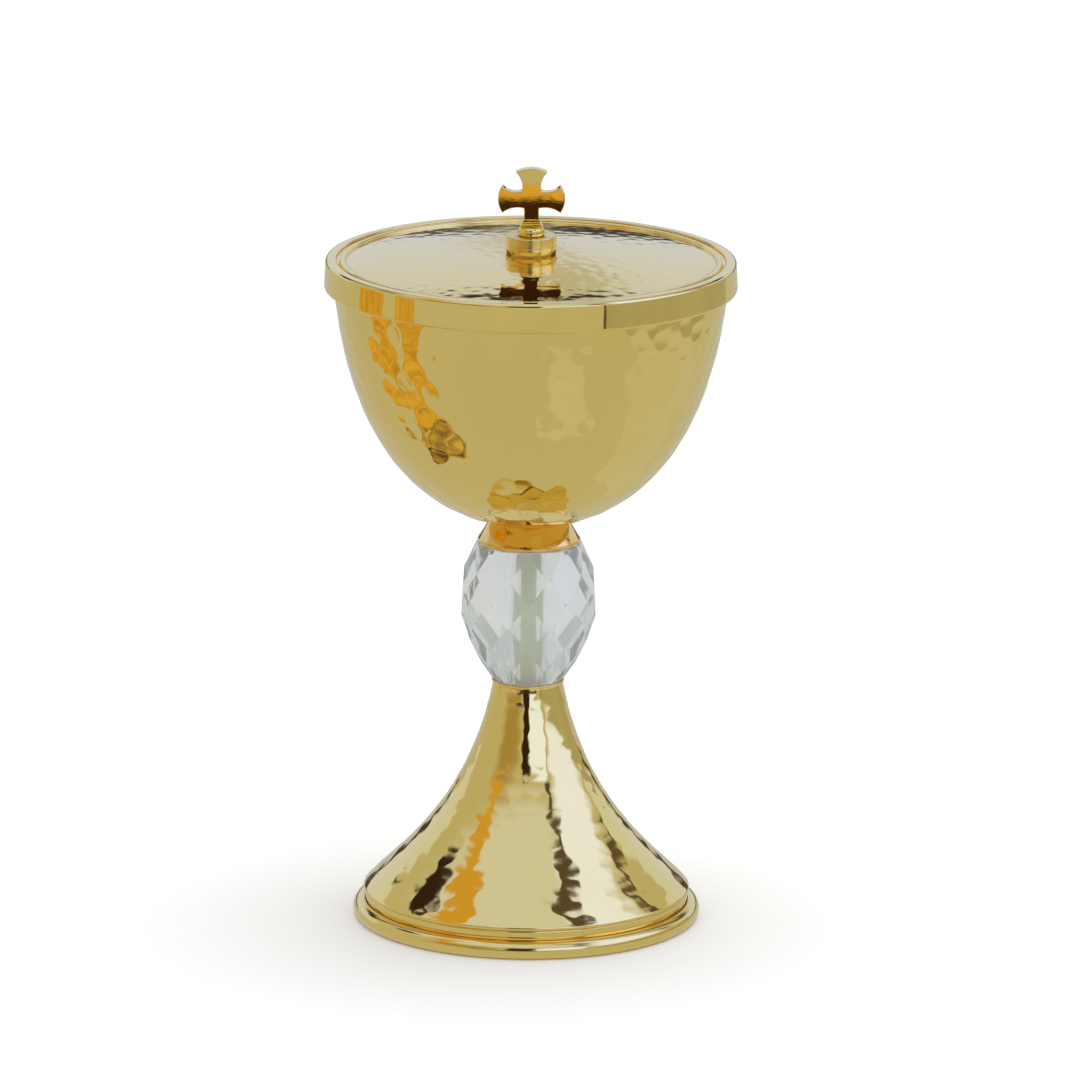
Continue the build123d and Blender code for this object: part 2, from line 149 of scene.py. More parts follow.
def turned(name, outline, segments):
    """A solid turned from a closed outline, with its flats shaded flat."""
    piece = new_object(name, grid_mesh(name, turn_points(outline, segments), True))
    mend(piece.data)
    piece.modifiers.new("flats", "WEIGHTED_NORMAL").weight = 100
    return piece


def bezier(points, count):
    """Points along a cubic curve."""
    t = np.linspace(0, 1, count)[:, None]
    a, b, c, d = [np.array(point) for point in points]
    return (1 - t) ** 3 * a + 3 * (1 - t) ** 2 * t * b + 3 * (1 - t) * t**2 * c + t**3 * d


def evenly(points, count):
    """The same curve with its points evenly spaced."""
    steps = np.linalg.norm(np.diff(points, axis=0), axis=1)
    along = np.concatenate([[0], np.cumsum(steps)])
    wanted = np.linspace(0, along[-1], count)
    return np.stack([np.interp(wanted, along, points[:, k]) for k in range(2)], axis=1)


def hammer_blows(profile, spacing, jitter, seed):
    """Centres of hammer blows in rows round the surface turned from a profile."""
    rng = random.Random(seed)
    steps = np.linalg.norm(np.diff(profile, axis=0), axis=1)
    along = np.concatenate([[0], np.cumsum(steps)])
    row_spacing = spacing * 0.87
    rows = max(2, round(along[-1] / row_spacing))
    blows = []
    for row in range(rows + 1):
        place = along[-1] * row / rows
        radius = np.interp(place, along, profile[:, 0])
        around = max(3, round(2 * math.pi * radius / spacing))
        phase = rng.random()
        for blow in range(around):
            shifted = place + rng.uniform(-jitter, jitter) * spacing
            angle = 2 * math.pi * (blow + phase + rng.uniform(-jitter, jitter)) / around
            ring = np.interp(shifted, along, profile[:, 0])
            height = np.interp(shifted, along, profile[:, 1])
            blows.append((ring * math.cos(angle), ring * math.sin(angle), height))
    return blows


def hammered(rows, blows, face_radius, depth_limit):
    """Sink each point into the shallow dishes of the blows nearest to it.

    The ridges between dishes come up to the surface at most.
    """
    tree = kdtree.KDTree(len(blows))
    for index, blow in enumerate(blows):
        tree.insert(blow, index)
    tree.balance()
    along = np.gradient(rows, axis=0)
    across = np.roll(rows, -1, axis=1) - np.roll(rows, 1, axis=1)
    normals = np.cross(across, along)
    normals /= np.linalg.norm(normals, axis=2)[:, :, None] + 1e-12
    flat = rows.reshape(-1, 3)
    rise = np.empty(len(flat))
    soft = depth_limit * 0.12
    for index, point in enumerate(flat):
        near = tree.find_n(point, 3)
        dishes = [found[2] ** 2 / (2 * face_radius) for found in near]
        rise[index] = -soft * math.log(sum(math.exp(-dish / soft) for dish in dishes))
    rise = np.clip(rise, None, depth_limit).reshape(rows.shape[:2])
    return rows + normals * (rise - depth_limit)[:, :, None]


def on_vessel(piece, node):
    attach(piece, "vessel")
    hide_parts(node)


def on_lid(piece, node):
    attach(piece, "lid")
    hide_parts(node)


# Materials


def sockets(shader, values):
    for name, value in values.items():
        shader.inputs[name].default_value = value


class Nodes:
    """Short names for the nodes that the materials use."""

    def __init__(self, name):
        self.material = bpy.data.materials.new(name)
        self.material.use_nodes = True
        self.tree = self.material.node_tree
        self.shader = self.tree.nodes["Principled BSDF"]
        self.place = self.tree.nodes.new("ShaderNodeTexCoord").outputs["Object"]

    def link(self, source, target):
        self.tree.links.new(source, target)

    def noise(self, scale, detail=3, stretch=(1, 1, 1)):
        mapping = self.tree.nodes.new("ShaderNodeMapping")
        mapping.inputs["Scale"].default_value = stretch
        self.link(self.place, mapping.inputs["Vector"])
        node = self.tree.nodes.new("ShaderNodeTexNoise")
        sockets(node, {"Scale": scale, "Detail": detail})
        self.link(mapping.outputs["Vector"], node.inputs["Vector"])
        return node.outputs["Fac"]

    def spread(self, source, low, high):
        """Noise, whose values are mostly from 0.3 to 0.7, spread from low to high."""
        node = self.tree.nodes.new("ShaderNodeMapRange")
        sockets(node, {"From Min": 0.3, "From Max": 0.7, "To Min": low, "To Max": high})
        self.link(source, node.inputs["Value"])
        return node.outputs["Result"]

    def blend(self, factor, first, second):
        node = self.tree.nodes.new("ShaderNodeMix")
        node.data_type = "RGBA"
        node.inputs["A"].default_value = (*first, 1)
        node.inputs["B"].default_value = (*second, 1)
        self.link(factor, node.inputs["Factor"])
        return node.outputs["Result"]

    def bump(self, height, distance, onto=None):
        node = self.tree.nodes.new("ShaderNodeBump")
        sockets(node, {"Distance": distance, "Strength": 1.0})
        self.link(height, node.inputs["Height"])
        if onto is not None:
            self.link(onto, node.inputs["Normal"])
        return node.outputs["Normal"]


GILT_PALE = (0.97, 0.72, 0.225)
GILT_DEEP = (0.95, 0.695, 0.205)
# Gold for the stem collar: the extra amber over the gilt's own colour is a painted reflection of the gold
# cup and warm room around it.
AMBER_REFLECTION_PALE = (0.98, 0.62, 0.18)
AMBER_REFLECTION_DEEP = (0.96, 0.60, 0.165)


def gilt(name, roughness, grain, ripple, pale=GILT_PALE, deep=GILT_DEEP):
    """Polished gold plate: faint colour drift, wiped patches, hairlines and a soft ripple.

    The grain of the hairlines and the ripple are depths in millimetres.
    """
    nodes = Nodes(name)
    drift = nodes.noise(18, 2)
    nodes.link(nodes.blend(nodes.spread(drift, 0, 1), pale, deep), nodes.shader.inputs["Base Color"])
    wiped = nodes.noise(55, 4, (1, 1, 0.5))
    nodes.link(nodes.spread(wiped, roughness * 0.7, roughness * 1.4), nodes.shader.inputs["Roughness"])
    lines = nodes.noise(900, 2, (1, 1, 6))
    fine = nodes.bump(lines, grain * MM)
    waves = nodes.bump(nodes.noise(220, 1), ripple * MM, onto=fine)
    nodes.link(waves, nodes.shader.inputs["Normal"])
    sockets(nodes.shader, {"Metallic": 1.0})
    return nodes.material


def crystal_glass():
    """Clear lead crystal, with upright streaks and a trace of waviness left by polishing."""
    nodes = Nodes("crystal_glass")
    waves = nodes.bump(nodes.noise(60, 1), 0.02 * MM)
    streaks = nodes.bump(nodes.noise(520, 1, (1, 1, 0.05)), 0.03 * MM, onto=waves)
    nodes.link(streaks, nodes.shader.inputs["Normal"])
    tint = nodes.blend(nodes.noise(25, 1), (0.95, 0.97, 0.96), (0.97, 0.985, 0.98))
    nodes.link(tint, nodes.shader.inputs["Base Color"])
    sockets(nodes.shader, {"Transmission Weight": 0.81, "IOR": 1.5, "Roughness": 0.0})
    return nodes.material


def plain(name, light, dark, roughness, scale, metallic=0.0, grain=0.02):
    """A plain finish with cloudy colour and a fine grain, whose depth is in millimetres."""
    nodes = Nodes(name)
    cloud = nodes.noise(scale, 4)
    nodes.link(nodes.blend(nodes.spread(cloud, 0, 1), light, dark), nodes.shader.inputs["Base Color"])
    wear = nodes.spread(nodes.noise(scale * 3, 3), roughness * 0.8, roughness * 1.2)
    nodes.link(wear, nodes.shader.inputs["Roughness"])
    nodes.link(nodes.bump(nodes.noise(scale * 12, 2), grain * MM), nodes.shader.inputs["Normal"])
    sockets(nodes.shader, {"Metallic": metallic})
    return nodes.material


polished_gilt = gilt("polished_gilt", 0.045, 0.002, 0.02)
hammered_gilt = gilt("hammered_gilt", 0.06, 0.003, 0.05)
cast_gilt = gilt("cast_gilt", 0.011, 0.0003, 0.002)
satin_gilt = gilt("satin_gilt", 0.2, 0.002, 0.02)
moulding_gilt = gilt("moulding_gilt", 0.12, 0.002, 0.02)
# Painted reflection: the collar's gilt is made more amber to stand in for the warm light it mirrors.
gilt_with_painted_amber_reflection = gilt("gilt_with_painted_amber_reflection", 0.05, 0.002, 0.03, AMBER_REFLECTION_PALE, AMBER_REFLECTION_DEEP)
glass = crystal_glass()
sleeve_plastic = plain("sleeve_plastic", (0.84, 0.90, 0.52), (0.76, 0.82, 0.46), 0.4, 120)
pad_rubber = plain("pad_rubber", (0.88, 0.88, 0.84), (0.80, 0.80, 0.76), 0.5, 200)
plain_steel = plain("plain_steel", (0.62, 0.62, 0.61), (0.50, 0.50, 0.49), 0.28, 150, metallic=1.0)


def dress(piece, material):
    piece.data.materials.clear()
    piece.data.materials.append(material)


# Foot


BAND_WALL, BAND_ROUND = 2.2 * MM, 0.6 * MM


def foot_bead():
    """Round moulding, flattened underneath, with the band's rebate at its inner top."""
    flat_depth = 0.25 * MM
    tube = (bead_top + flat_depth) / 2
    centre = bead_outer - tube
    middle = bead_top - tube
    outline = []
    steps = 72
    for step in range(steps):
        angle = 2 * math.pi * step / steps
        radius = centre + tube * math.cos(angle)
        height = max(middle + tube * math.sin(angle), bead_bottom)
        if radius < band_radius:
            height = min(height, band_bottom)
        outline.append((radius, height))
    piece = turned("foot_bead_ring", outline, 320)
    dress(piece, moulding_gilt)
    on_vessel(piece, "foot_bead")


def foot_band():
    """Polished step between the bead and the cone."""
    inner = band_radius - BAND_WALL
    outline = rounded(
        [
            (inner, band_bottom, 0),
            (band_radius, band_bottom, 0),
            (band_radius, band_top, BAND_ROUND),
            (inner, band_top, 0),
        ]
    )
    piece = turned("foot_step_band", outline, 320)
    dress(piece, moulding_gilt)
    on_vessel(piece, "foot_band")


def shell_rows(outline, worked, segments, blows, face_radius, depth):
    """Rows of a turned shell whose outline is hammered over the worked stretch of its points."""
    rows = turn_points(outline, segments)
    start, finish = worked
    beaten = hammered(rows[start:finish], blows, face_radius, depth)
    fade_rows = 4
    from_start = np.arange(finish - start)
    fade = np.clip(np.minimum(from_start, from_start[::-1]) / fade_rows, 0, 1)
    rows[start:finish] += (beaten - rows[start:finish]) * fade[:, None, None]
    return rows


def shell(name, rows):
    """A closed shell from rows, with the points that meet on the axis joined."""
    piece = new_object(name, grid_mesh(name, rows, True))
    mend(piece.data, joined=True)
    piece.data.shade_smooth()
    return piece


def sloped(angle, length):
    """The step of a length at an angle above level, as (inwards, upwards)."""
    return length * math.cos(math.radians(angle)), length * math.sin(math.radians(angle))


CONE_EDGE = 0.8 * MM
CONE_EDGE_ANGLE, CONE_EDGE_PULL = 52, 9 * MM
NECK_ANGLE, NECK_PULL = 79.7, 40 * MM
NECK_RADIUS = 10.2 * MM
CONE_WALL = 1.3 * MM


def cone_side(inset):
    """The cone's side from its edge to the neck."""
    edge_in, edge_up = sloped(CONE_EDGE_ANGLE, CONE_EDGE_PULL)
    neck_in, neck_up = sloped(NECK_ANGLE, NECK_PULL)
    start = cone_radius - inset / math.sin(math.radians(CONE_EDGE_ANGLE)), cone_bottom + CONE_EDGE
    finish = NECK_RADIUS - inset / math.sin(math.radians(NECK_ANGLE)), neck_top
    after_start = start[0] - edge_in, start[1] + edge_up
    before_finish = finish[0] + neck_in, finish[1] - neck_up
    return bezier([start, after_start, before_finish, finish], 400)


def foot_cone():
    """Flared foot, hammered in rows over its whole outside."""
    side = evenly(cone_side(0), 190)
    under = evenly(cone_side(CONE_WALL), 36)[::-1]
    foot_corner = 0.25 * MM
    edge = [
        (under[-1][0], cone_bottom),
        (cone_radius - foot_corner, cone_bottom),
        (cone_radius - foot_corner * 0.3, cone_bottom + foot_corner * 0.3),
        (cone_radius, cone_bottom + foot_corner),
        (cone_radius, cone_bottom + CONE_EDGE * 0.8),
    ]
    outline = edge + side.tolist() + under.tolist()
    spacing, face_radius, depth = 5.6 * MM, 60 * MM, 0.085 * MM
    blows = hammer_blows(side, spacing, jitter=0.38, seed=11)
    worked = len(edge), len(edge) + len(side)
    rows = shell_rows(outline, worked, 420, blows, face_radius, depth)
    piece = shell("foot_cone_hammered", rows)
    dress(piece, hammered_gilt)
    on_vessel(piece, "foot_cone")


def neck_seat():
    """Bright lip at the top of the neck, on the plug inside it."""
    clearance = 0.05 * MM
    plug = NECK_RADIUS - CONE_WALL / math.sin(math.radians(NECK_ANGLE)) - clearance
    outline = rounded(
        [
            (ROD_HOLE_RADIUS, seat_bottom, 0),
            (plug, seat_bottom, 0.3 * MM),
            (plug, neck_top, 0),
            (seat_radius, neck_top, 0.15 * MM),
            (seat_radius, seat_top, 0.25 * MM),
            (ROD_HOLE_RADIUS, seat_top, 0),
        ]
    )
    piece = turned("neck_seat_ring", outline, 160)
    dress(piece, polished_gilt)
    on_vessel(piece, "neck_seat")


# Crystal

BORE_RADIUS = 3.5 * MM
BLANK_WIDTH = 60 * MM
COLUMNS = 10
FOOT_FLAT = 10.3 * MM
BARREL_FLAT = 19.25 * MM
BARREL_HEIGHT = 24.3 * MM
BARREL_CURVE = 32 * MM
FIRST_TILT, TILT_STEP, ROWS = 22, 12.6, 5


def cut_row(work, radius, height, tilt, turned_by):
    """Grind one flat per column, each leaning in by the tilt."""
    lean = math.radians(tilt)
    for column in range(COLUMNS):
        way = math.radians(turned_by + column * 360 / COLUMNS)
        bmesh.ops.bisect_plane(
            work,
            geom=work.verts[:] + work.edges[:] + work.faces[:],
            plane_co=(radius * math.cos(way), radius * math.sin(way), height),
            plane_no=(math.cos(lean) * math.cos(way), math.cos(lean) * math.sin(way), -math.sin(lean)),
            clear_outer=True,
        )
        bmesh.ops.holes_fill(work, edges=[edge for edge in work.edges if edge.is_boundary])


def crystal():
    """Barrel of staggered lozenges over long facets and flutes, with softened edges and a bore."""
    half = math.radians(180 / COLUMNS)
    work = bmesh.new()
    bmesh.ops.create_cube(work, size=1)
    size = Vector((BLANK_WIDTH, BLANK_WIDTH, crystal_top - crystal_bottom))
    bmesh.ops.scale(work, vec=size, verts=work.verts)
    bmesh.ops.translate(work, vec=(0, 0, (crystal_top + crystal_bottom) / 2), verts=work.verts)
    front, between = -90, -90 + 180 / COLUMNS
    centre = crystal_bottom + BARREL_HEIGHT
    for row in range(ROWS):
        tilt = FIRST_TILT - row * TILT_STEP
        lean = math.radians(tilt)
        radius = BARREL_FLAT - BARREL_CURVE * (1 - math.cos(lean))
        height = centre - BARREL_CURVE * math.sin(lean)
        cut_row(work, radius, height, tilt, front if row % 2 else between)

    first = math.radians(FIRST_TILT)
    first_radius = BARREL_FLAT - BARREL_CURVE * (1 - math.cos(first))
    first_height = centre - BARREL_CURVE * math.sin(first) - crystal_bottom
    long_slope = (first_radius / math.cos(half) - FOOT_FLAT) / first_height
    cut_row(work, FOOT_FLAT, crystal_bottom, math.degrees(math.atan(long_slope)), front)
    corner_slope, corner_start = long_slope / math.cos(half), FOOT_FLAT / math.cos(half)
    barrel_start = first_radius - first_height * math.tan(first)
    flute_height = (barrel_start - corner_start) / (corner_slope - math.tan(first))
    flute_slope = (corner_start + corner_slope * flute_height - FOOT_FLAT) / flute_height
    cut_row(work, FOOT_FLAT, crystal_bottom, math.degrees(math.atan(flute_slope)), between)

    bmesh.ops.dissolve_limit(work, angle_limit=math.radians(0.5), verts=work.verts, edges=work.edges)
    mesh = bpy.data.meshes.new("cut_crystal")
    work.to_mesh(mesh)
    work.free()
    piece = new_object("cut_crystal", mesh)
    soften(piece, 0.12 * MM, 2, 3, flats_kept=True)
    bore(piece, BORE_RADIUS)
    dress(piece, glass)
    on_vessel(piece, "crystal_node")


def apply_modifiers(piece):
    """Replace the piece's mesh with what its modifiers make of it."""
    graph = bpy.context.evaluated_depsgraph_get()
    mesh = bpy.data.meshes.new_from_object(piece.evaluated_get(graph))
    piece.modifiers.clear()
    piece.data = mesh


def soften(piece, width, segments, least_turn, flats_kept=False):
    """Round the piece's edges that turn by more than an angle in degrees."""
    bevel = piece.modifiers.new("soft_edges", "BEVEL")
    bevel.width = width
    bevel.segments = segments
    bevel.limit_method = "ANGLE"
    bevel.angle_limit = math.radians(least_turn)
    bevel.harden_normals = flats_kept
    apply_modifiers(piece)


def bore(piece, radius):
    """Drill the piece through along the axis."""
    low, high = crystal_bottom - MM, crystal_top + MM
    outline = [(0, low), (radius, low), (radius, high), (0, high)]
    drill = new_object("drill", grid_mesh("drill", turn_points(outline, 96), False))
    mend(drill.data, joined=True)
    hole = piece.modifiers.new("bore", "BOOLEAN")
    hole.object = drill
    hole.operation = "DIFFERENCE"
    hole.solver = "EXACT"
    apply_modifiers(piece)
    bpy.data.objects.remove(drill)


# Collar and cup


def stem_collar():
    """Polished cone under the cup with a small lip at its lower edge."""
    lean = math.tan(math.radians(32))
    lip = 1.0 * MM
    step = 0.25 * MM
    boss_space, floor_thickness = 7.1 * MM, 1.0 * MM
    top_radius = collar_radius - step - (collar_top - collar_bottom - lip) * lean
    outline = rounded(
        [
            (ROD_HOLE_RADIUS, collar_bottom, 0),
            (collar_radius, collar_bottom, 0.3 * MM),
            (collar_radius, collar_bottom + lip, 0.3 * MM),
            (collar_radius - step, collar_bottom + lip, 0.05 * MM),
            (top_radius, collar_top, 0),
            (boss_space, cup_bottom + 0.5 * MM, 0),
            (boss_space, collar_bottom + floor_thickness, 0),
            (ROD_HOLE_RADIUS, collar_bottom + floor_thickness, 0),
        ]
    )
    piece = turned("stem_collar_cone", outline, 256)
    # The collar's extra amber is painted reflection of the gold cup above it, on top of the gilt's own
    # colour.
    dress(piece, gilt_with_painted_amber_reflection)
    on_vessel(piece, "stem_collar")


CUP_WALL = 1.2 * MM
CUP_BOTTOM_PULL, CUP_MOUTH_PULL, CUP_MOUTH_LEAN = 20.4 * MM, 64.8 * MM, 3.85


def cup_side(inset):
    """The cup's side from the axis to its mouth."""
    lean = math.radians(CUP_MOUTH_LEAN)
    finish = cup_radius - inset, cup_mouth
    return bezier(
        [
            (0, cup_bottom + inset),
            (CUP_BOTTOM_PULL - inset / 2, cup_bottom + inset),
            (finish[0] - CUP_MOUTH_PULL * math.sin(lean), finish[1] - CUP_MOUTH_PULL * math.cos(lean)),
            finish,
        ],
        400,
    )


def cup_bowl():
    """Deep cup, lightly hammered outside and polished smooth inside, with a rounded mouth."""
    outside = evenly(cup_side(0), 150)
    inside = evenly(cup_side(CUP_WALL), 44)[::-1]
    mouth, crown = cup_radius - CUP_WALL / 2, CUP_WALL / 3
    rim = []
    for step in range(1, 6):
        angle = math.pi * step / 6
        radius = mouth + CUP_WALL / 2 * math.cos(angle)
        rim.append((radius, cup_mouth - crown * (1 - math.sin(angle))))
    outside[-1][1] -= crown
    inside[0][1] -= crown
    outline = outside.tolist() + rim + inside.tolist()
    spacing, face_radius, depth = 7.0 * MM, 32 * MM, 0.19 * MM
    blows = hammer_blows(outside, spacing, jitter=0.38, seed=5)
    worked = 0, len(outside) - 2
    rows = shell_rows(outline, worked, 480, blows, face_radius, depth)
    piece = shell("cup_bowl_hammered", rows)
    dress(piece, hammered_gilt)
    on_vessel(piece, "cup_bowl")


# Lid

LID_CLEARANCE = 0.4 * MM
LEDGE_THICKNESS = 0.8 * MM
plate_seat = cup_mouth + LEDGE_THICKNESS


def lid_band():
    """Polished band round the cup's mouth, with the ledge that carries the plate."""
    skirt = cup_radius + LID_CLEARANCE
    rim_inner = 56.3 * MM
    ledge = skirt - 4.3 * MM
    taper = 0.4 * MM
    outline = rounded(
        [
            (skirt, lid_bottom, 0.3 * MM),
            (lid_radius, lid_bottom, 0.9 * MM),
            (lid_radius - taper, lid_top, 1.0 * MM),
            (rim_inner, lid_top, 0.35 * MM),
            (rim_inner, plate_seat, 0),
            (ledge, plate_seat, 0),
            (ledge, cup_mouth, 0),
            (skirt, cup_mouth, 0),
        ],
        8,
    )
    piece = turned("lid_band_ring", outline, 360)
    dress(piece, polished_gilt)
    on_lid(piece, "lid_band")


def lid_plate():
    """Domed plate with a polished raised border and a finely hammered field."""
    border_width, border_thickness, border_step = 1.7 * MM, 1.4 * MM, 0.7 * MM
    wall = 1.0 * MM
    fullness = 1.9
    border_top = plate_seat + border_thickness
    field = plate_radius - border_width
    field_edge = border_top - border_step
    land = knob_radius + 0.25 * MM
    radii = np.linspace(land, field - 0.1 * MM, 112)
    share = (radii - land) / (field - land)
    dome = np.stack([radii, knob_bottom - (knob_bottom - field_edge) * share**fullness], axis=1)
    top = rounded(
        [
            (field, field_edge, 0),
            (field, border_top, 0.35 * MM),
            (plate_radius, border_top, 0.35 * MM),
            (plate_radius, plate_seat, 0),
            (field, plate_seat, 0),
            (field, field_edge - wall, 0),
        ]
    )
    below = dome[::-6] - np.array([0, wall])
    centre = [(STUD_HOLE_RADIUS, knob_bottom - wall), (STUD_HOLE_RADIUS, knob_bottom)]
    outline = dome.tolist() + top + below.tolist() + centre
    spacing, face_radius, depth = 4.6 * MM, 100 * MM, 0.030 * MM
    blows = hammer_blows(dome, spacing, jitter=0.42, seed=3)
    worked = 0, len(dome)
    rows = shell_rows(outline, worked, 520, blows, face_radius, depth)
    piece = shell("lid_plate_hammered", rows)
    dress(piece, hammered_gilt)
    on_lid(piece, "lid_plate")


def knob_half(name, node, low, high, low_round, high_round):
    """One of the knob's two turned halves."""
    outline = rounded(
        [
            (STUD_HOLE_RADIUS, low, 0),
            (knob_radius, low, low_round),
            (knob_radius, high, high_round),
            (STUD_HOLE_RADIUS, high, 0),
        ]
    )
    piece = turned(name, outline, 160)
    dress(piece, satin_gilt)
    on_lid(piece, node)


# Cross

# Millimetres from the arms' centre line to the top.
CROSS_UP = 9.2


def arc(start, finish, bulge, steps=14):
    """Points from start up to finish along an arc that stands off its chord to the left by bulge."""
    start, finish = Vector(start), Vector(finish)
    chord = finish - start
    left = Vector((-chord.y, chord.x)).normalized()
    points = []
    for step in range(steps):
        share = step / steps
        points.append(start + chord * share + left * bulge * 4 * share * (1 - share))
    return points


def cross_outline():
    """Outline of the flared cross about its arms' centre line, clockwise."""
    span, up, down = 9.7, CROSS_UP, 8.1
    side_bulge, top_bulge, hollow = 1.3, 1.1, -0.75
    tip = (span - side_bulge, 3.9)
    top = (4.6, up - top_bulge)
    upper, lower, foot = (2.75, 2.5), (2.25, -2.5), (3.4, -down)
    low_tip = (tip[0], -tip[1])

    def mirrored(point):
        return -point[0], point[1]

    path = arc(mirrored(top), top, top_bulge)
    path += arc(top, upper, hollow)
    path += arc(upper, tip, hollow)
    path += arc(tip, low_tip, side_bulge)
    path += arc(low_tip, lower, hollow)
    path += arc(lower, foot, hollow * 0.7)
    path += [Vector(foot)]
    path += arc(mirrored(foot), mirrored(lower), hollow * 0.7)
    path += arc(mirrored(lower), mirrored(low_tip), hollow)
    path += arc(mirrored(low_tip), mirrored(tip), side_bulge)
    path += arc(mirrored(tip), mirrored(upper), hollow)
    path += arc(mirrored(upper), mirrored(top), hollow)
    return [point * MM for point in path]


def cross():
    """Cast cross with softened edges, on its round foot."""
    thickness = 3.4 * MM
    foot_height = 2.5 * MM
    centre = cross_high.z - CROSS_UP * MM
    front = [(point.x, -thickness / 2, centre + point.y) for point in cross_outline()]
    back = [(x, thickness / 2, z) for x, _, z in front]
    count = len(front)
    faces = [range(count), range(count, 2 * count)]
    for corner in range(count):
        following = (corner + 1) % count
        faces.append((corner, following, following + count, corner + count))
    mesh = bpy.data.meshes.new("lid_cross")
    mesh.from_pydata(front + back, [], faces)
    mend(mesh)
    piece = new_object("lid_cross", mesh)
    soften(piece, 0.65 * MM, 5, 50)
    piece.data.shade_smooth()
    piece.modifiers.new("flats", "WEIGHTED_NORMAL").weight = 100
    dress(piece, cast_gilt)

    foot_radius = cross_high.y
    foot_outline = rounded(
        [
            (0, cross_low.z, 0),
            (foot_radius, cross_low.z, foot_height * 0.1),
            (foot_radius, cross_low.z + foot_height, foot_height * 0.42),
            (0, cross_low.z + foot_height, 0),
        ],
        10,
    )
    foot = shell("lid_cross_foot", turn_points(foot_outline, 96))
    dress(foot, polished_gilt)
    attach(foot, "lid")
    on_lid(piece, "cross")


foot_bead()
foot_band()
foot_cone()
neck_seat()
crystal()
stem_collar()
cup_bowl()
lid_band()
lid_plate()
knob_half("knob_base_ring", "knob_base", knob_low, knob_seam, 0, 0.2 * MM)
knob_half("knob_cap_ring", "knob_cap", knob_seam, knob_top, 0.2 * MM, 0.25 * MM)
cross()

CARRIED_OVER = {
    "lower_gasket": pad_rubber,
    "upper_gasket": pad_rubber,
    "rod_sleeve": sleeve_plastic,
    "cup_boss": polished_gilt,
    "tie_rod": plain_steel,
    "clamp_washer": plain_steel,
    "spring_washer": plain_steel,
    "clamp_nut": plain_steel,
    "knob_stud": plain_steel,
    "lid_washer": polished_gilt,
    "lid_nut": polished_gilt,
}
for node, material in CARRIED_OVER.items():
    for material_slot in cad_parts[node].material_slots:
        material_slot.material = material


# Studio


# Dims all that the gold mirrors. The gilt's own colour is brighter to match, which keeps
# reflections of reflections bright and amber.
GOLD_LIGHT = (0.773, 0.8125, 0.822)


def card(name, corners, light_material, through=False):
    """A flat card that only reflections see, or only what looks through the crystal."""
    mesh = bpy.data.meshes.new(name)
    mesh.from_pydata(corners, [], [tuple(range(len(corners)))])
    piece = new_object(name, mesh)
    piece.data.materials.append(light_material)
    piece.visible_camera = False
    piece.visible_diffuse = False
    piece.visible_shadow = False
    piece.visible_glossy = not through
    piece.visible_transmission = through


def glow(name, first, second, scale=6, tint=GOLD_LIGHT):
    """Even light that drifts softly between two colours."""
    nodes = Nodes(name)
    first = tuple(a * b for a, b in zip(first, tint))
    second = tuple(a * b for a, b in zip(second, tint))
    nodes.tree.nodes.remove(nodes.shader)
    emission = nodes.tree.nodes.new("ShaderNodeEmission")
    drift = nodes.spread(nodes.noise(scale, 2), 0, 1)
    nodes.link(nodes.blend(drift, first, second), emission.inputs["Color"])
    nodes.link(emission.outputs["Emission"], nodes.tree.nodes["Material Output"].inputs["Surface"])
    return nodes.material


FLOOR_HALF = 6


def level(height):
    """Corners of a level square as wide as the floor."""
    return [
        (-FLOOR_HALF, -FLOOR_HALF, height),
        (FLOOR_HALF, -FLOOR_HALF, height),
        (FLOOR_HALF, FLOOR_HALF, height),
        (-FLOOR_HALF, FLOOR_HALF, height),
    ]


def floor():
    """Wide pale sweep under the vessel."""
    mesh = bpy.data.meshes.new("studio_floor")
    mesh.from_pydata(level(0), [], [(0, 1, 2, 3)])
    piece = new_object("studio_floor", mesh)
    nodes = Nodes("pale_floor")
    pale = nodes.blend(nodes.noise(3, 2), (0.93, 0.93, 0.93), (0.95, 0.95, 0.95))
    nodes.link(pale, nodes.shader.inputs["Base Color"])
    sockets(nodes.shader, {"Roughness": 0.9})
    piece.data.materials.append(nodes.material)


def spot(azimuth, distance, height=MM):
    """A point at a distance from the axis, its azimuth as the room's."""
    angle = math.radians(azimuth)
    return distance * math.sin(angle), -distance * math.cos(angle), height


def strip(near, near_azimuths, far, far_azimuths):
    """Corners of a strip that runs outwards over the table."""
    return [
        spot(near_azimuths[0], near),
        spot(far_azimuths[0], far),
        spot(far_azimuths[1], far),
        spot(near_azimuths[1], near),
    ]


def across(near, far, half_width):
    """Corners of a strip that lies across the table in front."""
    return [
        (-half_width, -far, MM),
        (half_width, -far, MM),
        (half_width, -near, MM),
        (-half_width, -near, MM),
    ]


def upright(x, low_y, high_y, height):
    """Corners of a screen that stands beside the vessel, a little clear of the table."""
    foot = 20 * MM
    return [(x, low_y, foot), (x, high_y, foot), (x, high_y, height), (x, low_y, height)]


